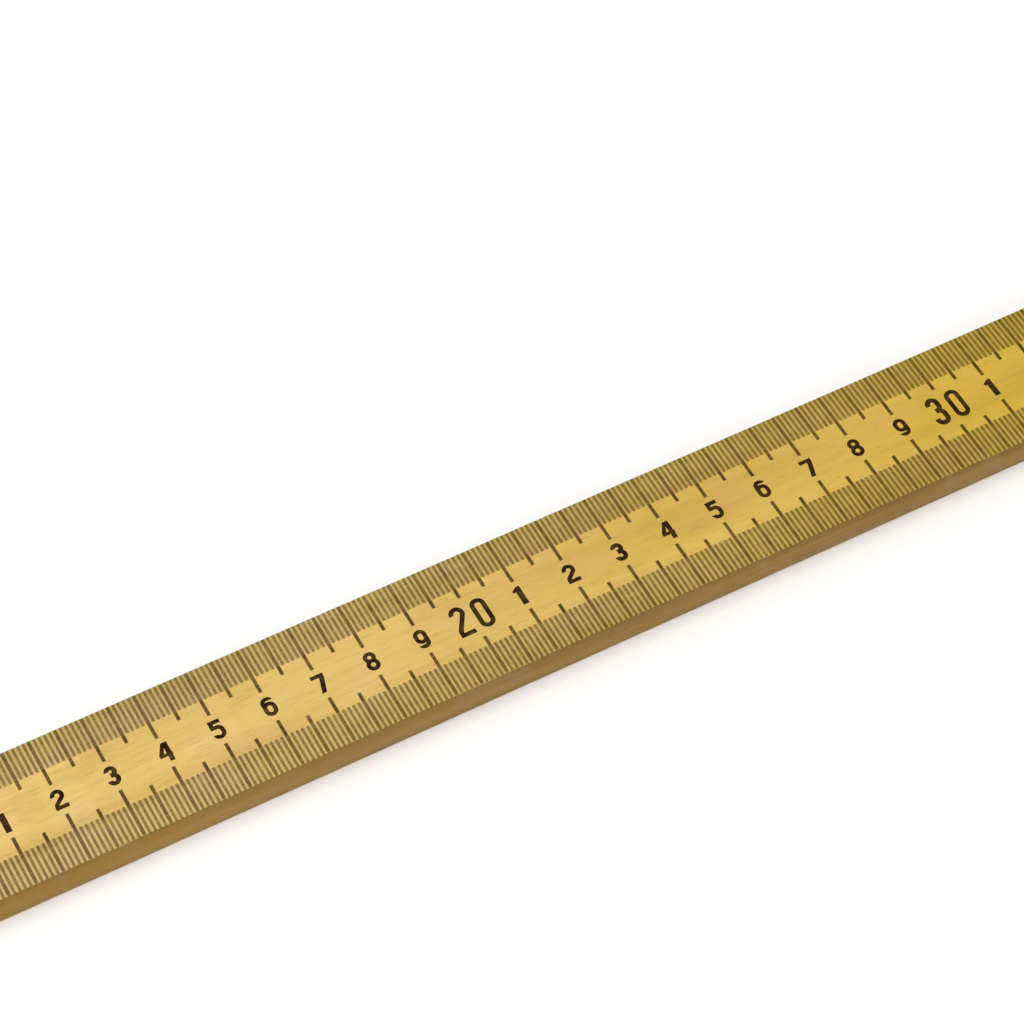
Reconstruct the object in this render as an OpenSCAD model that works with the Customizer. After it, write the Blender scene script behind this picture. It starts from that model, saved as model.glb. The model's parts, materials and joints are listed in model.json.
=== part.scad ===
// Double-sided hardwood metre stick with folded metal end tips.
// The metric scale is on the top face and the inch scale on the underside. X runs along the stick from
// the zero end to the far end, Y across it and Z up. The origin is the centre of the resting plane.

/* [Stick] */
// Overall length over the end tips
stick_l = 1000; // [400:10:1000]
// Width across the graduated faces
stick_w = 27; // [26:0.5:32]
// Thickness over the end tips
stick_t = 6.8; // [5:0.1:9]
// Radius along the four long edges of the wood
edge_r = 0.25; // [0.2:0.05:0.4]
// Depth of each wooden face below the end tips
face_inset = 0.05; // [0.04:0.01:0.06]

/* [Hang hole] */
// Diameter of the hang hole
hang_hole_d = 6; // [4:0.5:6]
// Distance of its centre from the far end
hang_hole_from_end = 25; // [24.5:0.5:25.5]

/* [End tips] */
// Length of each tip along the stick
tip_l = 8; // [7:0.5:8]
// Thickness of the folded sheet
tip_sheet = 0.5; // [0.5:0.05:0.6]

/* [Rivets] */
// Diameter of the rivet shank
rivet_d = 2; // [1.6:0.1:2.4]
// Diameter of the flush countersunk head
rivet_head_d = 3.2; // [2.8:0.1:3.6]
// Distance between the two rivets of one tip
rivet_pitch = 14; // [10:0.5:18]

/* [Ink] */
// Thickness of the ink film
ink_t = 0.03; // [0.02:0.005:0.03]
// Gap between the edge of the stick and the end of a line
line_gap = 0.25; // [0.25:0.05:0.8]

/* [Metric face] */
// Reach of a millimetre line, measured from the edge
millimetre_reach = 6.8; // [6:0.1:7]
// Reach of a half-centimetre line
half_centimetre_reach = 8.6; // [8:0.1:9]
// Reach of a centimetre line
centimetre_reach = 10.2; // [9.5:0.1:10.2]
// Reach of a centimetre line beside a decimetre numeral
decimetre_reach = 8.8; // [8:0.1:9]
// Width of a millimetre line
millimetre_line_w = 0.5; // [0.3:0.02:0.56]
// Width of a centimetre or half-centimetre line
centimetre_line_w = 0.64; // [0.4:0.02:0.7]
// Height of a centimetre numeral
centimetre_digit_h = 4.1; // [3.8:0.1:4.4]
// Width of a centimetre numeral
centimetre_digit_w = 2.45; // [2.2:0.05:2.6]
// Height of a decimetre numeral
decimetre_digit_h = 6.6; // [6:0.1:7]
// Width of one digit of a decimetre numeral
decimetre_digit_w = 2.95; // [2.6:0.05:3]
// Thickness of the strokes of a centimetre numeral
centimetre_stroke = 0.78; // [0.6:0.02:0.8]
// Thickness of the strokes of a decimetre numeral
decimetre_stroke = 0.88; // [0.6:0.02:0.9]

/* [Inch face] */
// Reach of an inch line, measured from the edge
inch_reach = 15.1; // [14:0.1:16]
// Reach of a half-inch line
half_inch_reach = 11.8; // [11:0.1:12]
// Reach of a quarter-inch line
quarter_inch_reach = 6.5; // [6:0.1:7]
// Reach of an eighth-inch line
eighth_inch_reach = 4.9; // [4:0.1:5.5]
// Width of every inch line
inch_line_w = 0.6; // [0.4:0.05:0.7]
// Height of an inch numeral
inch_digit_h = 6.2; // [6:0.1:6.5]
// Width of one digit of an inch numeral
inch_digit_w = 3.4; // [3:0.1:3.5]
// Distance of the middle of an inch numeral from the graduated edge
inch_digit_from_edge = 12.5; // [12:0.1:13]
// Thick strokes of an inch numeral
thick_stroke = 1.05; // [0.9:0.05:1.1]
// Thin strokes of an inch numeral
thin_stroke = 0.36; // [0.3:0.02:0.45]

/* [Hidden] */
$fn = 48;
inch = 25.4;
cut = 0.5;                                  // how far a cutting tool passes the surface
half_l = stick_l / 2;
half_w = stick_w / 2;
wood_t = stick_t - 2 * face_inset;
tongue_t = stick_t - 2 * tip_sheet;
tongue_l = tip_l - tip_sheet;
rivet_x = half_l - tip_sheet - tongue_l / 2;
scale_l = stick_l - tip_l;                  // the graduations stop at the far end tip
clear = 0.5;                                // from the middle of the last line to the tip
one_digit_gap = 1.4;                        // between a one-digit inch numeral and its line
two_digit_left = 2.2;                       // from the line back to the first digit of a two-digit numeral
two_digit_right = 2.8;                      // from the line on to its second digit
digit_space = 0.65;                         // between two digits on the same side of a line
decimetre_pitch = 4.25;                     // between the digit centres of a decimetre numeral

// ---- wood and metal ----

module rounded_rect(w, h, r) {
    square([w - 2 * r, h], center = true);
    square([w, h - 2 * r], center = true);
    for (x = [-1, 1], y = [-1, 1])
        translate([x * (w / 2 - r), y * (h / 2 - r)]) circle(r);
}

// A rebate all round the last stretch of the wood, so that the folded tip lies almost flush
module tip_rebates() {
    rebate = (wood_t - tongue_t) / 2;
    for (end = [-1, 1]) {
        for (side = [-1, 1])
            translate([
                end * (half_l - tip_l / 2 + cut / 2), 0,
                stick_t / 2 + side * (wood_t / 2 - rebate / 2 + cut / 2)
            ]) cube([tip_l + cut, stick_w + 2 * cut, rebate + cut], center = true);
        translate([end * (half_l - tip_sheet / 2 + cut / 2), 0, stick_t / 2])
            cube([tip_sheet + cut, stick_w + 2 * cut, stick_t], center = true);
    }
}

module hardwood_lath() {
    color("#E6CB85") difference() {
        translate([-half_l, 0, stick_t / 2])
            rotate([90, 0, 90]) linear_extrude(stick_l) rounded_rect(stick_w, wood_t, edge_r);
        tip_rebates();
        translate([half_l - hang_hole_from_end, 0, -cut])
            cylinder(d = hang_hole_d, h = stick_t + 2 * cut);
        for (end = [-1, 1], side = [-1, 1])
            translate([end * rivet_x, side * rivet_pitch / 2, -cut])
                cylinder(d = rivet_d, h = stick_t + 2 * cut);
    }
}

// Spindle with a flat-topped cone at both ends, used for the rivets and for the holes that take them
module rivet(reach = 0) {
    rotate_extrude() polygon([
        [0, -reach], [rivet_head_d / 2, -reach], [rivet_head_d / 2, 0], [rivet_d / 2, tip_sheet],
        [rivet_d / 2, stick_t - tip_sheet], [rivet_head_d / 2, stick_t],
        [rivet_head_d / 2, stick_t + reach], [0, stick_t + reach]
    ]);
}

module rivet_row(reach = 0) {
    for (side = [-1, 1])
        translate([rivet_x, side * rivet_pitch / 2, 0]) rivet(reach);
}

module tip_section() {
    difference() {
        union() {
            square([tip_l - tip_sheet, stick_t]);
            translate([0, tip_sheet]) square([tip_l, tongue_t]);
            for (z = [tip_sheet, stick_t - tip_sheet])
                translate([tip_l - tip_sheet, z]) circle(tip_sheet);
        }
        translate([-cut, tip_sheet]) square([tongue_l + cut, tongue_t]);
    }
}

module end_tip() {
    color("#C9A456") difference() {
        translate([half_l - tip_l, 0, 0])
            rotate([90, 0, 0]) linear_extrude(stick_w, center = true) tip_section();
        rivet_row(cut);
    }
}

module far_end_tip() { end_tip(); }
module zero_end_tip() { mirror([1, 0, 0]) end_tip(); }
module far_end_rivets() { color("#B08A3E") rivet_row(); }
module zero_end_rivets() { mirror([1, 0, 0]) far_end_rivets(); }

// ---- lines ----

// Both faces are drawn with x measured from the zero end, y across the stick and the ink above z = 0
module on_metric_face() { color("#2B2118") translate([-half_l, 0, stick_t - face_inset]) children(); }
module on_inch_face() {
    color("#2B2118") translate([-half_l, 0, face_inset]) rotate([180, 0, 0]) children();
}

// Lines across the stick that start near one edge: side is 1 for the far edge and -1 for the near one
module edge_lines(places, reach, w, side = 1) {
    for (x = places)
        translate([x - w / 2, side > 0 ? half_w - reach : line_gap - half_w, 0])
            cube([w, reach - line_gap, ink_t]);
}

// Multiples of pitch that stay clear of both end tips
function places(pitch) =
    [for (n = [ceil((tip_l + clear) / pitch) : floor((scale_l - clear) / pitch)]) n * pitch];

millimetre_places = [for (x = places(1)) if (x % 5 != 0) x];
half_centimetre_places = [for (x = places(5)) if (x % 10 != 0) x];
centimetre_places = [for (x = places(10)) if (x % 100 != 0) x];
decimetre_places = places(100);
inch_places = places(inch);
half_inch_places = [for (x = places(inch / 2)) if (round(2 * x / inch) % 2 != 0) x];
quarter_inch_places = [for (x = places(inch / 4)) if (round(4 * x / inch) % 2 != 0) x];
eighth_inch_places = [for (x = places(inch / 8)) if (round(8 * x / inch) % 2 != 0) x];

module millimetre_lines(side) {
    on_metric_face() edge_lines(millimetre_places, millimetre_reach, millimetre_line_w, side);
}

module half_centimetre_lines(side) {
    on_metric_face() edge_lines(half_centimetre_places, half_centimetre_reach, centimetre_line_w, side);
}

module centimetre_lines(side) {
    on_metric_face() {
        edge_lines(centimetre_places, centimetre_reach, centimetre_line_w, side);
        edge_lines(decimetre_places, decimetre_reach, centimetre_line_w, side);
    }
}

module inch_lines() { on_inch_face() edge_lines(inch_places, inch_reach, inch_line_w); }
module half_inch_lines() { on_inch_face() edge_lines(half_inch_places, half_inch_reach, inch_line_w); }
module quarter_inch_lines() {
    on_inch_face() edge_lines(quarter_inch_places, quarter_inch_reach, inch_line_w);
}
module eighth_inch_lines() {
    on_inch_face() edge_lines(eighth_inch_places, eighth_inch_reach, inch_line_w);
}

// ---- numerals: every digit is drawn about its own centre, w wide and h high over the strokes ----

// Filled oblong with round ends, given by its half width and half height
module slot(a, b) {
    r = min(a, b);
    for (end = [-1, 1]) translate([end * (a - r), end * (b - r)]) circle(r);
    if (a > b) square([2 * (a - r), 2 * r], center = true);
    if (b > a) square([2 * r, 2 * (b - r)], center = true);
}

// Closed bowl: side is the stroke at left and right, top the stroke above and below
module bowl(a, b, side, top) {
    difference() {
        slot(a, b);
        slot(a - side, b - top);
    }
}

module box(x0, y0, x1, y1) { translate([x0, y0]) square([x1 - x0, y1 - y0]); }

// Straight stroke from p to q with square ends
module bar(p, q, w) {
    run = q - p;
    translate(p) rotate(atan2(run.y, run.x)) translate([0, -w / 2]) square([norm(run), w]);
}

// Curved stroke about the origin, from one angle to another up to 300 degrees on
module arc(r, from, to, w) {
    intersection() {
        difference() {
            circle(r + w / 2);
            circle(r - w / 2);
        }
        polygon([[0, 0], for (part = [0 : 0.25 : 1]) 4 * r * [
            cos(from + part * (to - from)), sin(from + part * (to - from))
        ]]);
    }
}

// Upright oval of four tangent arcs, given by its half width and its larger half height
module oval(a, b) {
    end_r = a * min(0.95, max(0.6, 1.1 * a / b));
    end_y = b - end_r;
    side_r = (a * a + end_y * end_y - end_r * end_r) / (2 * (a - end_r));
    join_y = end_y * side_r / (side_r - end_r);
    intersection() {
        translate([side_r - a, 0]) circle(side_r);
        translate([a - side_r, 0]) circle(side_r);
        square([2 * a, 2 * join_y], center = true);
    }
    for (end = [-1, 1]) translate([0, end * end_y]) circle(end_r);
}

module oval_bowl(a, b, side, top) {
    difference() {
        oval(a, b);
        oval(a - side, b - top);
    }
}

// Even-stroke digits of the metric face
module plain_digit(n, w, h, s) {
    a = w / 2;
    b = h / 2;
    low = 0.26 * (h + s);                   // half height of the lower bowl of 3, 5 and 8
    high = 0.5 * (h + s) - low;             // half height of the upper bowl, which shares one stroke with it
    if (n == 0) bowl(a, b, s, s);
    if (n == 1) polygon([
        [-0.72 * s, -b], [0.72 * s, -b], [0.72 * s, b], [-0.2 * s, b], [-1.5 * s, b - 0.9 * s],
        [-1.25 * s, b - 1.5 * s], [-0.72 * s, b - 1.3 * s]
    ]);
    // The leg of a 2 leaves the crown as a tangent and turns upright before it meets the foot
    if (n == 2) {
        r = a - s / 2;
        drop = 2 * b - a - s / 2;
        heel_r = 0.3 * drop;
        crown = [0, b - a];
        heel = [heel_r - r, s / 2 - b + 0.12 * drop];
        line = heel - crown;
        aim = atan2(line.y, line.x) + acos((r + heel_r) / norm(line));
        aside = [cos(aim), sin(aim)];
        lap = 0.05 * [aside.y, -aside.x];
        translate(crown) arc(r, aim, 185, s);
        bar(crown + r * aside - lap, heel - heel_r * aside + lap, s);
        translate(heel) arc(heel_r, aim + 180, 185, s);
        box(-a, -b, s - a, heel.y);
        box(-a, -b, a, s - b);
    }
    full = n == 3 ? 1.1 * s : s;
    if (n == 3 || n == 8) difference() {
        union() {
            translate([0, low - b]) bowl(a, low, full, full);
            translate([0, b - high]) bowl(0.94 * a, high, full, full);
        }
        if (n == 3) box(-2 * a, 0.9 * low - b, -0.2 * a, b - 0.9 * high);
    }
    if (n == 4) {
        stem = 0.16 * a;
        beam = -0.45 * b;
        beam_w = 0.85 * s;
        box(stem, -b, stem + 1.15 * s, b);
        box(-a, beam, a, beam + beam_w);
        polygon([[-a, beam + beam_w], [s - a, beam + beam_w / 2], [stem + s / 2, b], [stem - s / 4, b]]);
    }
    if (n == 5) {
        knee = [-0.92 * a, 0.05 * b];
        difference() {
            translate([0, 1.15 * low - b]) bowl(a, 1.15 * low, s, s);
            box(-2 * a, 0.8 * low - b, -0.2 * a, knee.y);
        }
        box(knee.x, knee.y, knee.x + s, b);
        box(knee.x, b - s, 0.85 * a, b);
    }
    if (n == 6) {
        translate([0, 1.2 * low - b]) bowl(a, 1.2 * low, s, s);
        difference() {
            bowl(a, b, s, s);
            box(0, -2 * b, 2 * a, 0.62 * b);
            box(-2 * a, -2 * b, 2 * a, low - b);
        }
    }
    if (n == 7) polygon([
        [-a, b], [a, b], [a, b - s], [0.35 * s, -b], [-0.8 * s, -b], [a - 1.2 * s, b - s], [-a, b - s]
    ]);
    if (n == 9) rotate(180) plain_digit(6, w, h, s);
}

// Thick and thin digits of the inch face, with round terminals and feet
module book_digit(n) {
    a = inch_digit_w / 2;
    b = inch_digit_h / 2;
    thick = thick_stroke;
    thin = thin_stroke;
    ball = 0.55 * thick;
    low = 0.265 * (2 * b + thin);           // half heights of the two bowls, which share a thin stroke
    high = 0.5 * (2 * b + thin) - low;
    if (n == 0) oval_bowl(a, b, thick, thin);
    if (n == 1) {
        box(-thick / 2, -b, thick / 2, b);
        box(0.1 - a, -b, a - 0.1, thin - b);
        polygon([
            [-thick / 2, b], [-thick / 2, b - 1.3 * thin], [-0.85 * a, b - 1.6 * thin], [-0.85 * a, b - thin]
        ]);
        polygon([
            [-0.6 * a, thin - b], [-thick / 2, 3 * thin - b], [thick / 2, 3 * thin - b], [0.6 * a, thin - b]
        ]);
    }
    if (n == 2) {
        crown = b - 1.1 * a;
        difference() {
            translate([0, crown]) oval_bowl(0.95 * a, 1.1 * a, thick, thin);
            box(-2 * a, -2 * b, 0, crown);
            box(-2 * a, -2 * b, 2 * a, crown - 0.4 * a);
            box(-2 * a, -2 * b, -0.7 * a, b - 2 * thin);
        }
        translate([ball - 0.92 * a, crown + ball]) circle(ball);
        polygon([
            [0.95 * a - thick, crown - 0.35 * a], [0.95 * a, crown - 0.35 * a],
            [thin - 0.55 * a, 0.9 * thick - b], [-a, 0.7 * thick - b], [-a, 0.2 * thick - b]
        ]);
        polygon([
            [-a, -b], [0.75 * a, -b], [a, 1.6 * thick - b], [0.8 * a, 1.6 * thick - b],
            [0.65 * a, 0.9 * thick - b], [-a, 0.9 * thick - b]
        ]);
    }
    if (n == 3 || n == 8) {
        difference() {
            union() {
                translate([0, low - b]) oval_bowl(a, low, 0.95 * thick, thin);
                translate([0, b - high]) oval_bowl(0.88 * a, high, 0.95 * thick, thin);
            }
            if (n == 3) box(-2 * a, 0.55 * low - b, -0.15 * a, b - 0.5 * high);
        }
        if (n == 3) {
            translate([ball - 0.95 * a, 0.75 * low - b]) circle(ball);
            translate([ball - 0.85 * a, b - 0.7 * high]) circle(ball);
        }
    }
    if (n == 4) {
        stem = 0.1 * a;
        beam = -0.4 * b;
        box(stem, -b, stem + thick, b);
        box(-a, beam, a, beam + thin);
        box(-0.3 * a, -b, a, thin - b);
        polygon([[-a, beam + thin], [thin - a, beam + thin / 2], [stem + thin, b], [stem, b]]);
    }
    if (n == 5) {
        knee = 0.11 * b;
        difference() {
            translate([0, 1.12 * low - b]) oval_bowl(a, 1.12 * low, thick, thin);
            box(-2 * a, 0.55 * low - b, -0.25 * a, knee);
        }
        translate([ball - 0.95 * a, 0.75 * low - b]) circle(ball);
        box(-0.8 * a, knee - thin / 2, thin - 0.8 * a, b);
        polygon([[-0.8 * a, b], [0.85 * a, b], [0.6 * a, b - 0.9 * thick], [-0.8 * a, b - 0.75 * thick]]);
    }
    if (n == 6) {
        translate([0, 1.25 * low - b]) oval_bowl(0.94 * a, 1.25 * low, 0.9 * thick, thin);
        difference() {
            oval_bowl(a, b, thick, thin);
            box(0, -2 * b, 2 * a, b - thick);
            box(0.6 * a, -2 * b, 2 * a, 2 * b);
            box(-2 * a, -2 * b, 2 * a, 0.6 * low - b);
        }
        translate([0.5 * a, b - ball - thin / 2]) circle(0.8 * ball);
    }
    if (n == 7) {
        polygon([
            [-0.95 * a, b], [-0.75 * a, b - 0.2 * thick], [a, b], [a, b - 0.4 * thick], [0.25 * a, -0.35 * b],
            [0.25 * a, -b], [-0.55 * a, -b], [-0.4 * a, -0.55 * b], [0.6 * a, b - 1.1 * thick],
            [-0.7 * a, b - 1.1 * thick], [-0.85 * a, b - 1.9 * thick], [-a, b - 1.9 * thick]
        ]);
    }
    if (n == 9) rotate(180) book_digit(6);
}

module centimetre_numerals() {
    on_metric_face() for (x = centimetre_places)
        translate([x, 0, 0]) linear_extrude(ink_t)
            plain_digit((x / 10) % 10, centimetre_digit_w, centimetre_digit_h, centimetre_stroke);
}

module decimetre_numerals() {
    on_metric_face() for (x = decimetre_places, place = [0, 1])
        translate([x + (place - 0.5) * decimetre_pitch, 0, 0]) linear_extrude(ink_t)
            plain_digit(place == 0 ? x / 100 : 0, decimetre_digit_w, decimetre_digit_h, decimetre_stroke);
}

// A one-digit number stands left of its line. The digits of a two-digit number stand on either side of
// it, unless that would run the second digit into the far end tip.
module inch_numerals() {
    pitch = inch_digit_w + digit_space;
    beside = one_digit_gap + inch_digit_w / 2;
    on_inch_face() translate([0, half_w - inch_digit_from_edge, 0]) for (x = inch_places) {
        number = round(x / inch);
        fits = x + two_digit_right + inch_digit_w / 2 < scale_l;
        if (number > 9)
            translate([fits ? x - two_digit_left : x - beside - pitch, 0, 0])
                linear_extrude(ink_t) book_digit(floor(number / 10));
        translate([number > 9 && fits ? x + two_digit_right : x - beside, 0, 0])
            linear_extrude(ink_t) book_digit(number % 10);
    }
}

module millimetre_lines_upper() { millimetre_lines(1); }
module millimetre_lines_lower() { millimetre_lines(-1); }
module half_centimetre_lines_upper() { half_centimetre_lines(1); }
module half_centimetre_lines_lower() { half_centimetre_lines(-1); }
module centimetre_lines_upper() { centimetre_lines(1); }
module centimetre_lines_lower() { centimetre_lines(-1); }

hardwood_lath();
zero_end_tip();
far_end_tip();
zero_end_rivets();
far_end_rivets();
millimetre_lines_upper();
millimetre_lines_lower();
half_centimetre_lines_upper();
half_centimetre_lines_lower();
centimetre_lines_upper();
centimetre_lines_lower();
centimetre_numerals();
decimetre_numerals();
inch_lines();
half_inch_lines();
quarter_inch_lines();
eighth_inch_lines();
inch_numerals();
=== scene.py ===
"""Looks of the double-sided hardwood metre stick: lacquered wood, printing ink, brass and a pale studio."""

import json
import math

import bmesh
import bpy
from mathutils import Matrix, Vector
from mathutils.noise import noise


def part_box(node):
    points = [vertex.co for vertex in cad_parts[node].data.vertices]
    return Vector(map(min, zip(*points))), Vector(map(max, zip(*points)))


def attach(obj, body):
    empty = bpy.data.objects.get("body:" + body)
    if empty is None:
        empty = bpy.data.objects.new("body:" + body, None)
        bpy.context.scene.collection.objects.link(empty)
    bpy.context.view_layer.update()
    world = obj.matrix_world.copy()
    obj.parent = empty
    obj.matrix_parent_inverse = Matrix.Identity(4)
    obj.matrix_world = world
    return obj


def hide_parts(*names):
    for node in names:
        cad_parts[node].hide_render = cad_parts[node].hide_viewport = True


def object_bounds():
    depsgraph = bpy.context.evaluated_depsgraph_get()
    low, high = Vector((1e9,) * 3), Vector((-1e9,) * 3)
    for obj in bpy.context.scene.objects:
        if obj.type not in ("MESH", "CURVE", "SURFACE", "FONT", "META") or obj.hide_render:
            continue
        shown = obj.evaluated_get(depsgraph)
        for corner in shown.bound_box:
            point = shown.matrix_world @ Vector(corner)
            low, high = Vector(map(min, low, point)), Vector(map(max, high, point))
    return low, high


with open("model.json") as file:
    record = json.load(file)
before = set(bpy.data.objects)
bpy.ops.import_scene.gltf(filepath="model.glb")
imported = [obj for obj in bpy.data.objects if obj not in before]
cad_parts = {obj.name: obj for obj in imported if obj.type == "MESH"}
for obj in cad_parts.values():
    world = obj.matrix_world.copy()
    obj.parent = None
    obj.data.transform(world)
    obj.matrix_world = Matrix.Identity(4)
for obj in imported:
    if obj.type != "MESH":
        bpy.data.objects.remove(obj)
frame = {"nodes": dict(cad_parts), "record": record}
CAD_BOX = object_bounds()
LOW, HIGH = CAD_BOX
MM = 0.001

# ---- the stick, read from the frame ----

WOOD_LOW, WOOD_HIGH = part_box("hardwood_lath")
TIP_LOW, TIP_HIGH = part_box("far_end_tip")
RIVET_LOW, RIVET_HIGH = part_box("far_end_rivets")
HOLE = next(m for m in frame["record"]["mounts"] if m["name"] == "hang_hole")
HALF_WIDTH = WOOD_HIGH[1]
BAND_Y, LINE_Y = (corner[1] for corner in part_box("millimetre_lines_upper"))
TOP = WOOD_HIGH[2]
BOTTOM = WOOD_LOW[2]
MIDDLE_Z = (LOW[2] + HIGH[2]) / 2
SHOULDER = TIP_LOW[0]
TIP_SHEET = TIP_HIGH[0] - WOOD_HIGH[0]
HEAD_R = (RIVET_HIGH[0] - RIVET_LOW[0]) / 2
RIVET_X = (RIVET_HIGH[0] + RIVET_LOW[0]) / 2
RIVET_Y = RIVET_HIGH[1] - HEAD_R
SHANK_R = 0.625 * HEAD_R                     # the shank of a rivet keeps this share of its head

# ---- camera: heading runs clockwise from +Y, drop is the downward look, roll turns about that look ----

CAMERA_AIM = Vector((-282.7 * MM, 17.1 * MM, TOP))
CAMERA_HEADING = math.radians(28.14)
CAMERA_DROP = math.radians(53.33)
CAMERA_ROLL = math.radians(-0.21)
CAMERA_DISTANCE = 625.8 * MM
CAMERA_LENS = 121.07

# ---- colours, linear ----

PALE_WOOD = (0.745, 0.52, 0.155)
GOLDEN_WOOD = (0.605, 0.40, 0.036)
LATEWOOD = (0.50, 0.29, 0.05)
PORE = (0.30, 0.17, 0.05)
PINK_CAST = (1.015, 0.985, 1.16)
SHADE = (0.90, 0.88, 0.84)
# tint of the long side faces: partly their darker side grain, partly painted shade that keeps them darker
# than the lit top
SIDE_GRAIN_AND_PAINTED_SHADE = (0.465, 0.365, 0.055)
BAND_HAZE = (0.76, 0.79, 0.885)
INK = (0.020, 0.007, 0.001)
BRASS = (0.82, 0.62, 0.29)
TARNISH = (0.40, 0.26, 0.11)
FLOOR = (0.96, 0.96, 0.955)
FLOOR_MOTTLE = (0.90, 0.90, 0.90)
BACKDROP = (0.93, 0.93, 0.93)
WHITE = (1, 1, 1)

# ---- noise: how often it repeats in a metre along, across and down the stick ----

RING_WANDER = (5, 60, 60)
BLOTCHES = (14, 70, 70)
STREAKS = (5, 260, 260)
FIBRES = (28, 1100, 1100)
FINE_FIBRES = (130, 4200, 4200)
PORES = (210, 6500, 6500)
CAST_PATCHES = (75, 170, 170)
SHADE_PATCHES = (30, 150, 150)
INK_BREAKS = (900, 2200, 2200)
INK_PATCHES = (350, 420, 420)
BRUSHING = (300, 9000, 9000)
STAINS = (180, 180, 180)
MOTTLE = (9, 9, 9)


class Graph:
    """One material and short ways to add shader nodes to it."""

    def __init__(self, name):
        self.material = bpy.data.materials.new(name)
        self.material.use_nodes = True
        self.tree = self.material.node_tree
        self.shader = self.tree.nodes["Principled BSDF"]
        self.place = self.add("ShaderNodeTexCoord").outputs["Object"]

    def add(self, kind, inputs=(), **settings):
        made = self.tree.nodes.new(kind)
        for key, value in settings.items():
            setattr(made, key, value)
        for key, value in dict(inputs).items():
            self.feed(made.inputs[key], value)
        return made

    def feed(self, socket, value):
        if isinstance(value, bpy.types.NodeSocket):
            self.tree.links.new(value, socket)
        else:
            socket.default_value = value

    def math(self, operation, first, second=0.0, clamp=False):
        made = self.add("ShaderNodeMath", {0: first, 1: second}, operation=operation, use_clamp=clamp)
        return made.outputs[0]

    def scaled(self, factors):
        made = self.add("ShaderNodeVectorMath", {0: self.place, 1: factors}, operation="MULTIPLY")
        return made.outputs[0]

    def noise(self, factors, detail=2.0, roughness=0.5, distortion=0.0):
        """Noise that repeats factors times a metre along each axis."""
        made = self.add("ShaderNodeTexNoise", {
            "Vector": self.scaled(factors), "Scale": 1.0, "Detail": detail, "Roughness": roughness,
            "Distortion": distortion})
        return made.outputs["Fac"]

    def span(self, value, low, high, to_low=0.0, to_high=1.0):
        """value between low and high, eased and mapped to the other pair."""
        made = self.add("ShaderNodeMapRange", {
            "Value": value, "From Min": low, "From Max": high, "To Min": to_low, "To Max": to_high},
            interpolation_type="SMOOTHSTEP")
        return made.outputs["Result"]

    def mix(self, factor, first, second, blend="MIX"):
        made = self.add("ShaderNodeMix", data_type="RGBA", blend_type=blend)
        self.feed(made.inputs[0], factor)
        for socket, value in ((made.inputs[6], first), (made.inputs[7], second)):
            self.feed(socket, (*value, 1.0) if isinstance(value, tuple) else value)
        return made.outputs[2]

    def tinted(self, colour, tint, where):
        """colour multiplied by tint where the third value is 1."""
        return self.mix(where, colour, self.mix(1.0, colour, tint, "MULTIPLY"))

    def bump(self, height, distance):
        made = self.add("ShaderNodeBump", {"Height": height, "Distance": distance, "Strength": 1.0})
        return made.outputs["Normal"]

    def finish(self, colour, roughness, normal, **constants):
        self.feed(self.shader.inputs["Base Color"], colour)
        self.feed(self.shader.inputs["Roughness"], roughness)
        self.feed(self.shader.inputs["Normal"], normal)
        for key, value in constants.items():
            self.shader.inputs[key.replace("_", " ")].default_value = value
        return self.material


# ---- wood ----

RING_PITCH = 3.1 * MM
RINGS_WANDER = 5 * MM
PITH_Y = 5 * MM
PITH_Z = -46 * MM
PITH_TILT = 0.014
TONE_START = -0.38                           # where along the stick the wood is palest
TONE_LENGTH = 0.48                           # from there to the next pale place
BLOTCH_DEPTH = 1.1
RING_DEPTH = 0.22
STREAK_DEPTH = 0.32
FIBRE_DEPTH = 0.20
FINE_DEPTH = 0.16
PORE_DEPTH = 0.42
ARRIS_START = 0.15 * MM                      # from the side face in to where its darker tint, partly side grain and partly painted shade, begins
ARRIS_END = 0.01 * MM                        # and to where it is full
GRAIN_RELIEF = 0.03 * MM
LINE_SHARE = 0.5                             # of each millimetre
LINE_BLUR = 0.03
LINE_FADE = (0.22 * MM, 0.08 * MM)           # below the face, where a line is gone and where it is whole
MILLIMETRE_COVER = 0.64


def growth_rings(g):
    """0 to 1 across each year's growth, around a pith below the stick that leans slightly along it."""
    x, y, z = g.add("ShaderNodeSeparateXYZ", {0: g.place}).outputs
    wander = g.math("MULTIPLY", g.math("SUBTRACT", g.noise(RING_WANDER, 3, 0.55), 0.5), RINGS_WANDER)
    across = g.math("ADD", g.math("SUBTRACT", y, PITH_Y), wander)
    rise = g.math("ADD", g.math("SUBTRACT", z, PITH_Z), g.math("MULTIPLY", x, PITH_TILT))
    rise = g.math("ADD", rise, wander)
    squares = g.math("ADD", g.math("MULTIPLY", across, across), g.math("MULTIPLY", rise, rise))
    year = g.math("FRACT", g.math("DIVIDE", g.math("SQRT", squares), RING_PITCH))
    return g.math("MULTIPLY", g.span(year, 0.25, 0.9), g.span(year, 1.0, 0.93))


def in_band(g):
    """1 along both edges of the metric face, where the millimetre lines stand and hands rub most."""
    _, y, z = g.add("ShaderNodeSeparateXYZ", {0: g.place}).outputs
    outside = g.span(g.math("ABSOLUTE", y), BAND_Y - 0.1 * MM, BAND_Y + 0.4 * MM)
    return g.math("MULTIPLY", outside, g.span(z, MIDDLE_Z, TOP))


def on_side(g):
    """1 on the two long side faces, where their darker side grain and painted shade are laid on."""
    _, y, _ = g.add("ShaderNodeSeparateXYZ", {0: g.place}).outputs
    return g.span(g.math("ABSOLUTE", y), HALF_WIDTH - ARRIS_START, HALF_WIDTH - ARRIS_END)


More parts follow.
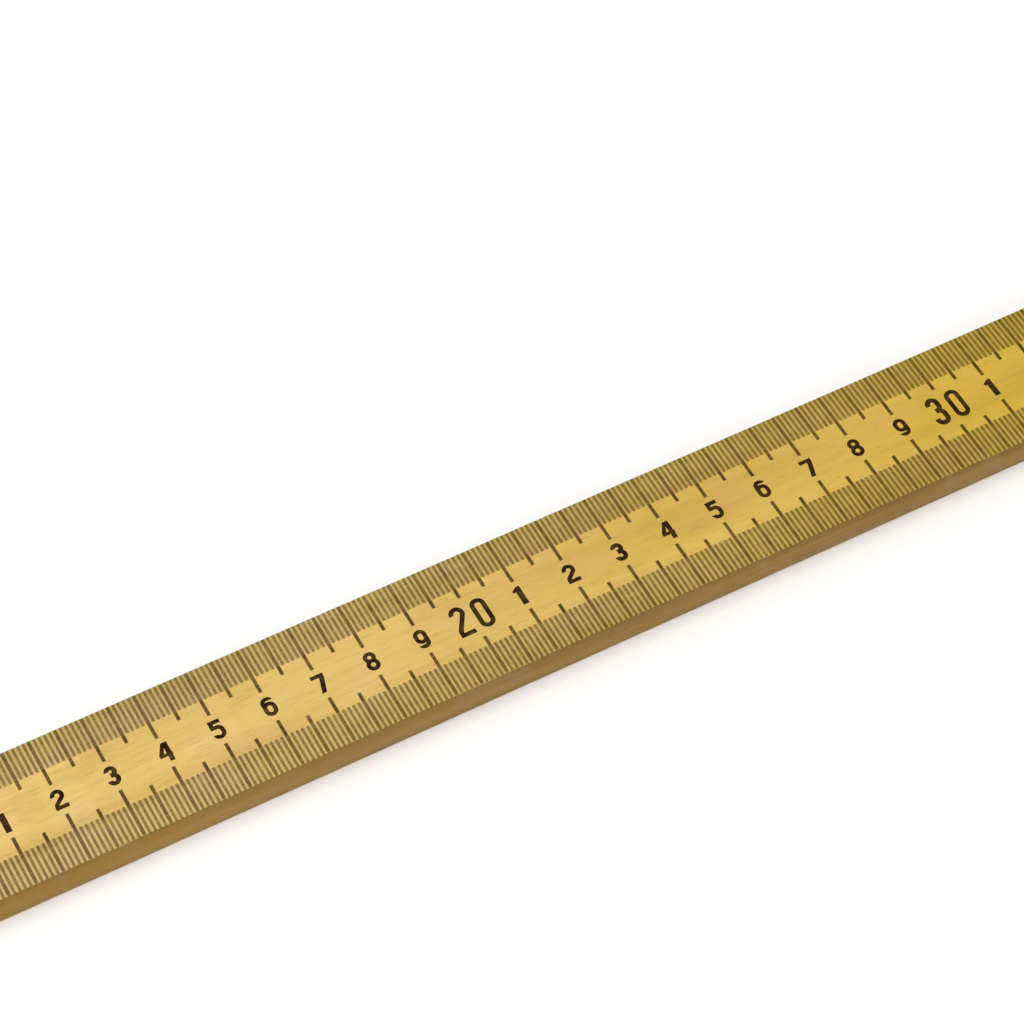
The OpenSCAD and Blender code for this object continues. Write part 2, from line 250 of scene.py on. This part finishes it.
def pale_to_golden(g):
    """0 in the pale stretches of the wood and 1 in the golden ones."""
    x, _, _ = g.add("ShaderNodeSeparateXYZ", {0: g.place}).outputs
    drift = g.math("DIVIDE", g.math("SUBTRACT", x, TONE_START), TONE_LENGTH)
    wave = g.math("COSINE", g.math("MULTIPLY", drift, 2 * math.pi))
    tone = g.math("SUBTRACT", 0.5, g.math("MULTIPLY", wave, 0.5))
    blotch = g.math("SUBTRACT", g.noise(BLOTCHES, 3, 0.6), 0.5)
    return g.math("ADD", tone, g.math("MULTIPLY", blotch, BLOTCH_DEPTH), clamp=True)


def wood(g):
    """Colour, roughness and height of the wood, as sockets."""
    tone = pale_to_golden(g)
    colour = g.mix(tone, PALE_WOOD, GOLDEN_WOOD)

    rings = growth_rings(g)
    colour = g.mix(g.math("MULTIPLY", rings, RING_DEPTH), colour, LATEWOOD)
    streak = g.span(g.noise(STREAKS, 4, 0.6, 0.2), 0.5, 0.74)
    colour = g.mix(g.math("MULTIPLY", streak, STREAK_DEPTH), colour, LATEWOOD)
    fibre = g.noise(FIBRES, 4, 0.6)
    colour = g.mix(g.span(fibre, 0.45, 0.75, 0.0, FIBRE_DEPTH), colour, LATEWOOD)
    fine = g.noise(FINE_FIBRES, 2, 0.5)
    colour = g.mix(g.span(fine, 0.50, 0.80, 0.0, FINE_DEPTH), colour, LATEWOOD)
    pores = g.span(g.noise(PORES, 1, 0.4), 0.67, 0.74)
    colour = g.mix(g.math("MULTIPLY", pores, PORE_DEPTH), colour, PORE)

    colour = g.tinted(colour, PINK_CAST, g.span(g.noise(CAST_PATCHES, 2, 0.5), 0.42, 0.66))
    colour = g.tinted(colour, SHADE, g.span(g.noise(SHADE_PATCHES, 3, 0.6, 0.3), 0.40, 0.72))
    colour = g.tinted(colour, BAND_HAZE, in_band(g))
    # painted shade on the long side faces, on top of their darker side grain
    colour = g.tinted(colour, SIDE_GRAIN_AND_PAINTED_SHADE, on_side(g))

    height = g.math("ADD", g.math("MULTIPLY", fibre, 0.7), g.math("MULTIPLY", fine, 0.3))
    height = g.math("SUBTRACT", height, g.math("MULTIPLY", pores, 0.5))
    roughness = g.span(fibre, 0.3, 0.7, 0.36, 0.50)
    return colour, roughness, height


def over_the_arris(g):
    """1 where a millimetre line runs on over the rounded long edges of the metric face."""
    x, y, z = g.add("ShaderNodeSeparateXYZ", {0: g.place}).outputs
    beat = g.math("FRACT", g.math("DIVIDE", g.math("SUBTRACT", x, LOW[0]), MM))
    beat = g.math("ABSOLUTE", g.math("SUBTRACT", beat, 0.5))
    start = 0.5 - LINE_SHARE / 2
    line = g.span(beat, start - LINE_BLUR, start + LINE_BLUR)
    beside = g.span(g.math("ABSOLUTE", y), LINE_Y - 0.02 * MM, LINE_Y)
    gone, whole = LINE_FADE
    return g.math("MULTIPLY", line, g.math("MULTIPLY", beside, g.span(z, TOP - gone, TOP - whole)))


def lacquered_wood():
    g = Graph("lacquered_wood")
    colour, roughness, height = wood(g)
    colour = g.mix(g.math("MULTIPLY", over_the_arris(g), MILLIMETRE_COVER), colour, INK)
    return g.finish(colour, roughness, g.bump(height, GRAIN_RELIEF),
                    Specular_IOR_Level=0.25, Coat_Weight=0.15, Coat_Roughness=0.25)


# ---- ink: the wood shows through where the print is thin or the grain breaks it ----

INK_RELIEF = 0.02 * MM


def printed_ink(name, cover, worn, rubbed=0.0):
    """cover is the ink the marks hold, worn how much of it the grain breaks, rubbed what the edges lose."""
    g = Graph(name)
    timber, _, height = wood(g)
    broken = g.span(g.noise(INK_BREAKS, 3, 0.6), 0.50, 0.75)
    patchy = g.span(g.noise(INK_PATCHES, 2, 0.5), 0.35, 0.75, 0.0, 0.6)
    gaps = g.math("MULTIPLY", g.math("ADD", broken, patchy), worn, clamp=True)
    cover = g.math("SUBTRACT", cover, g.math("MULTIPLY", in_band(g), rubbed))
    density = g.math("SUBTRACT", cover, gaps, clamp=True)
    colour = g.mix(density, timber, INK)
    normal = g.bump(g.math("ADD", height, density), INK_RELIEF)
    return g.finish(colour, g.span(density, 0.2, 1.0, 0.5, 0.7), normal, Specular_IOR_Level=0.05)


# ---- metal ----

BRUSHED_RELIEF = 0.01 * MM


def brass(name, worn):
    """Brushed brass; worn is how dark its stains are."""
    g = Graph(name)
    brushed = g.noise(BRUSHING, 3, 0.6)
    stain = g.span(g.noise(STAINS, 4, 0.6, 0.4), 0.45, 0.75, 0.0, worn)
    colour = g.mix(stain, BRASS, TARNISH)
    colour = g.mix(g.span(brushed, 0.4, 0.7, 0.0, 0.18), colour, TARNISH)
    roughness = g.math("ADD", g.span(brushed, 0.3, 0.7, 0.24, 0.36), g.math("MULTIPLY", stain, 0.25))
    return g.finish(colour, roughness, g.bump(brushed, BRUSHED_RELIEF), Metallic=1.0)


# ---- meshes: the wood, tips and rivets with the softened edges and small wear that use gives them ----

ARRIS_R = 0.25 * MM
ARRIS_STEPS = 5
STATION_PITCH = 2 * MM
WEAR = 0.14 * MM
WEAR_RATE = 45                               # how often the slow wear and the dents vary in a metre
DENT_RATE = 210
DENTS_ABOVE = 0.25
HOLE_RIM = 0.35 * MM
ROUND_STEPS = 64
SOFT_EDGE = 0.09 * MM
SMOOTH_BELOW = math.radians(35)
RIM_STEPS = 6
FOLD_STEPS = 6

# From the punch mark out to the rim, as shares of the head's radius and of the sheet's thickness
RIVET_HEAD = ((0.25, 0.16), (0.45, 0.12), (0.6, 0.02), (0.82, 0.0), (0.93, 0.05), (0.96, 0.14))


def closed_mesh(name, rings):
    """Solid through rings of equally many points, closed by the first and the last ring."""
    count = len(rings[0])
    last = count * (len(rings) - 1)
    faces = [list(range(count)), list(range(last, last + count))]
    for start in range(0, last, count):
        for step in range(count):
            after = (step + 1) % count
            faces.append([start + step, start + after, start + count + after, start + count + step])
    mesh = bpy.data.meshes.new(name)
    mesh.from_pydata([point for ring in rings for point in ring], [], faces)
    shape = bmesh.new()
    shape.from_mesh(mesh)
    bmesh.ops.recalc_face_normals(shape, faces=shape.faces)
    shape.to_mesh(mesh)
    shape.free()
    piece = bpy.data.objects.new(name, mesh)
    bpy.context.collection.objects.link(piece)
    return piece


def spun(name, x, y, profile):
    """Solid of revolution about an upright axis, from pairs of radius and height."""
    turns = [2 * math.pi * step / ROUND_STEPS for step in range(ROUND_STEPS)]
    return closed_mesh(name, [
        [(x + r * math.cos(turn), y + r * math.sin(turn), z) for turn in turns] for r, z in profile])


def joined(pieces):
    """The pieces as one object, which is the first of them."""
    with bpy.context.temp_override(active_object=pieces[0], selected_editable_objects=pieces):
        bpy.ops.object.join()
    return pieces[0]


def cut(piece, cutter):
    """Takes the cutter out of the piece and removes it."""
    change = piece.modifiers.new("cut", "BOOLEAN")
    change.operation = "DIFFERENCE"
    change.object = cutter
    apply_modifiers(piece)
    bpy.data.objects.remove(cutter)


def apply_modifiers(piece):
    seen = piece.evaluated_get(bpy.context.evaluated_depsgraph_get())
    piece.data = bpy.data.meshes.new_from_object(seen)
    piece.modifiers.clear()


def soften(piece, width):
    """Rounds every sharp edge a little and shades the rest smoothly."""
    if width:
        change = piece.modifiers.new("soft", "BEVEL")
        change.width = width
        change.segments = 2
        change.limit_method = "ANGLE"
        change.angle_limit = SMOOTH_BELOW
        apply_modifiers(piece)
    for face in piece.data.polygons:
        face.use_smooth = True
    piece.data.set_sharp_from_angle(angle=SMOOTH_BELOW)


def place(piece, node, material):
    """Gives the piece its material and puts it in the place of a node of the frame."""
    piece.data.materials.clear()
    piece.data.materials.append(material)
    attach(piece, "root")
    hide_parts(node)


def arris_wear(x, corner):
    """How far a long edge is rubbed down at x: a slow wear with a few short dents."""
    slow = 0.5 + 0.5 * noise(Vector((x * WEAR_RATE, corner * 7.3, 0.5)))
    dent = max(0.0, noise(Vector((x * DENT_RATE, corner * 3.1, 8.5))) - DENTS_ABOVE)
    return WEAR * min(1.0, 0.6 * slow + 1.6 * dent)


def lath_ring(x, low, high):
    """Outline of the wood at x, with rounded and worn long edges, kept between two heights."""
    ring = []
    for corner, (side_y, side_z) in enumerate(((1, 1), (-1, 1), (-1, -1), (1, -1))):
        rub = arris_wear(x, corner)
        for step in range(ARRIS_STEPS + 1):
            part = step / ARRIS_STEPS
            turn = math.radians(90 * (corner + part))
            inward = rub * math.sin(math.pi * part)
            y = side_y * (HALF_WIDTH - ARRIS_R) + (ARRIS_R - inward) * math.cos(turn)
            z = side_z * (TOP - MIDDLE_Z - ARRIS_R) + (ARRIS_R - inward) * math.sin(turn)
            ring.append((x, y, min(high, max(low, MIDDLE_Z + z))))
    return ring


def hole_cutter():
    """Spindle that drills the hang hole and rounds both its rims."""
    x, y, _ = HOLE["pos_m"]
    radius = HOLE["dims"]["r_mm"] * MM
    rim = []
    for step in range(RIM_STEPS + 1):
        turn = math.pi / 2 * step / RIM_STEPS
        rim.append((radius + HOLE_RIM * (1 - math.sin(turn)), HOLE_RIM * (1 - math.cos(turn))))
    upper = [(r, TOP - depth) for r, depth in rim]
    lower = [(r, BOTTOM + depth) for r, depth in reversed(rim)]
    wide = radius + HOLE_RIM
    return spun("hole_cutter", x, y, [(wide, HIGH[2] + MM), *upper, *lower, (wide, LOW[2] - MM)])


def at_rivets(end, name, profile):
    """The same solid of revolution at both rivets of one end, which is 1 or -1."""
    return joined([spun(name, end * RIVET_X, side * RIVET_Y, profile) for side in (-1, 1)])


def make_lath(material):
    """The wood, with a tongue in each tip, the hang hole and a hole for every rivet."""
    low, high = LOW[2] + TIP_SHEET, HIGH[2] - TIP_SHEET
    stations = round(2 * SHOULDER / STATION_PITCH)
    rings = [lath_ring(-WOOD_HIGH[0], low, high), lath_ring(-SHOULDER, low, high)]
    for station in range(stations + 1):
        rings.append(lath_ring(SHOULDER * (2 * station / stations - 1), LOW[2], HIGH[2]))
    rings += [lath_ring(SHOULDER, low, high), lath_ring(WOOD_HIGH[0], low, high)]
    lath = closed_mesh("worn_lath", rings)
    drill = [(SHANK_R, LOW[2]), (SHANK_R, HIGH[2])]
    cut(lath, joined([hole_cutter(), at_rivets(-1, "drills", drill), at_rivets(1, "drills", drill)]))
    soften(lath, 0)
    place(lath, "hardwood_lath", material)


def tip_ring(end, y):
    """Outline of the folded sheet at y: out along the bottom, round the end, back along the top."""
    outer, fold = HIGH[0], HIGH[0] - TIP_SHEET
    ring = [(SHOULDER, LOW[2])]
    for centre_z, start in ((LOW[2] + TIP_SHEET, -90), (HIGH[2] - TIP_SHEET, 0)):
        for step in range(FOLD_STEPS + 1):
            turn = math.radians(start + 90 * step / FOLD_STEPS)
            ring.append((fold + TIP_SHEET * math.cos(turn), centre_z + TIP_SHEET * math.sin(turn)))
    ring += [(SHOULDER, HIGH[2]), (SHOULDER, HIGH[2] - TIP_SHEET), (outer - TIP_SHEET, HIGH[2] - TIP_SHEET),
             (outer - TIP_SHEET, LOW[2] + TIP_SHEET), (SHOULDER, LOW[2] + TIP_SHEET)]
    return [(end * x, y, z) for x, z in ring]


def make_tip(end, name, material):
    """The folded sheet round one end, sunk for the rivet heads."""
    tip = closed_mesh(name + "_folded_tip", [tip_ring(end, LOW[1]), tip_ring(end, HIGH[1])])
    sinks = [(HEAD_R, LOW[2] - MM), (HEAD_R, LOW[2]), (SHANK_R, LOW[2] + TIP_SHEET),
             (SHANK_R, HIGH[2] - TIP_SHEET), (HEAD_R, HIGH[2]), (HEAD_R, HIGH[2] + MM)]
    cut(tip, at_rivets(end, "sinks", sinks))
    soften(tip, SOFT_EDGE)
    place(tip, name + "_tip", material)


def make_rivets(end, name, material):
    """Two rivets of one end, each with a shallow punch mark in both its heads."""
    head = [(share * HEAD_R, depth * TIP_SHEET) for share, depth in RIVET_HEAD]
    lower = [(r, LOW[2] + depth) for r, depth in head]
    upper = [(r, HIGH[2] - depth) for r, depth in reversed(head)]
    shank = [(SHANK_R, LOW[2] + TIP_SHEET), (SHANK_R, HIGH[2] - TIP_SHEET)]
    rivets = at_rivets(end, name + "_set_rivets", lower + shank + upper)
    soften(rivets, 0)
    place(rivets, name + "_rivets", material)


def dress(material, *nodes):
    """Gives the nodes' own meshes a material."""
    for name in nodes:
        slots = frame["nodes"][name].data.materials
        slots.clear()
        slots.append(material)


def dress_stick():
    make_lath(lacquered_wood())
    tip_brass = brass("tip_brass", 0.4)
    rivet_brass = brass("rivet_brass", 0.8)
    for end, name in ((-1, "zero_end"), (1, "far_end")):
        make_tip(end, name, tip_brass)
        make_rivets(end, name, rivet_brass)
    dress(printed_ink("millimetre_ink", MILLIMETRE_COVER, 0.22),
          "millimetre_lines_upper", "millimetre_lines_lower")
    dress(printed_ink("line_ink", 0.90, 0.20, 0.14),
          "half_centimetre_lines_upper", "half_centimetre_lines_lower",
          "centimetre_lines_upper", "centimetre_lines_lower",
          "inch_lines", "half_inch_lines", "quarter_inch_lines", "eighth_inch_lines")
    dress(printed_ink("numeral_ink", 1.0, 0.10),
          "centimetre_numerals", "decimetre_numerals", "inch_numerals")


# ---- studio ----

FLOOR_SIZE = 12.0
FLOOR_GAP = 0.1 * MM                         # keeps the floor and the resting faces apart
FLOOR_RELIEF = 0.05 * MM
WORLD_LIGHT = 0.55
KEY_STAND = (-0.9, -0.1, 2.0)
KEY_AIM = (-0.1, 0, 0)
KEY_SIZE = 2.0
KEY_POWER = 30
FILL_STAND = (-1.3, -0.9, 1.3)
FILL_AIM = (-0.25, 0, 0)
FILL_SIZE = 1.2
FILL_POWER = 4


def pale_floor():
    g = Graph("pale_floor")
    mottle = g.noise(MOTTLE, 3, 0.5)
    colour = g.mix(g.span(mottle, 0.3, 0.7, 0.0, 0.06), FLOOR, FLOOR_MOTTLE)
    return g.finish(colour, 0.7, g.bump(mottle, FLOOR_RELIEF))


def make_floor():
    bpy.ops.mesh.primitive_plane_add(size=FLOOR_SIZE, location=(0, 0, LOW[2] - FLOOR_GAP))
    floor = bpy.context.object
    floor.name = "studio_floor"
    floor.data.materials.append(pale_floor())


def make_softbox(name, stand, aim, size, power):
    """Square lamp that stands at one point and faces another."""
    data = bpy.data.lights.new(name, "AREA")
    data.shape = "SQUARE"
    data.size = size
    data.energy = power
    lamp = bpy.data.objects.new(name, data)
    lamp.location = stand
    lamp.rotation_euler = (Vector(aim) - Vector(stand)).to_track_quat("-Z", "Y").to_euler()
    bpy.context.collection.objects.link(lamp)


def make_world():
    """Dim light from all round, with a pale backdrop for the eye."""
    world = bpy.data.worlds.new("studio")
    world.use_nodes = True
    bpy.context.scene.world = world
    nodes, links = world.node_tree.nodes, world.node_tree.links
    seen = nodes.new("ShaderNodeBackground")
    seen.inputs["Color"].default_value = (*BACKDROP, 1)
    ray = nodes.new("ShaderNodeLightPath")
    blend = nodes.new("ShaderNodeMixShader")
    nodes["Background"].inputs["Color"].default_value = (*WHITE, 1)
    nodes["Background"].inputs["Strength"].default_value = WORLD_LIGHT
    links.new(ray.outputs["Is Camera Ray"], blend.inputs[0])
    links.new(nodes["Background"].outputs[0], blend.inputs[1])
    links.new(seen.outputs[0], blend.inputs[2])
    links.new(blend.outputs[0], nodes["World Output"].inputs["Surface"])


def make_camera():
    """Camera at a distance from its aim, turned by heading, drop and roll."""
    data = bpy.data.cameras.new("camera")
    data.lens = CAMERA_LENS
    data.clip_start = 0.01
    camera = bpy.data.objects.new("camera", data)
    look = Vector((math.sin(CAMERA_HEADING) * math.cos(CAMERA_DROP),
                   math.cos(CAMERA_HEADING) * math.cos(CAMERA_DROP), -math.sin(CAMERA_DROP)))
    camera.location = CAMERA_AIM - look * CAMERA_DISTANCE
    turn = Matrix.Rotation(-CAMERA_HEADING, 3, "Z") @ Matrix.Rotation(math.pi / 2 - CAMERA_DROP, 3, "X")
    camera.rotation_euler = (turn @ Matrix.Rotation(CAMERA_ROLL, 3, "Z")).to_euler()
    bpy.context.collection.objects.link(camera)
    bpy.context.scene.camera = camera


def make_studio():
    make_floor()
    make_world()
    make_softbox("key_softbox", KEY_STAND, KEY_AIM, KEY_SIZE, KEY_POWER)
    make_softbox("fill_softbox", FILL_STAND, FILL_AIM, FILL_SIZE, FILL_POWER)
    bpy.context.scene.view_settings.view_transform = "Standard"


dress_stick()
make_studio()
make_camera()
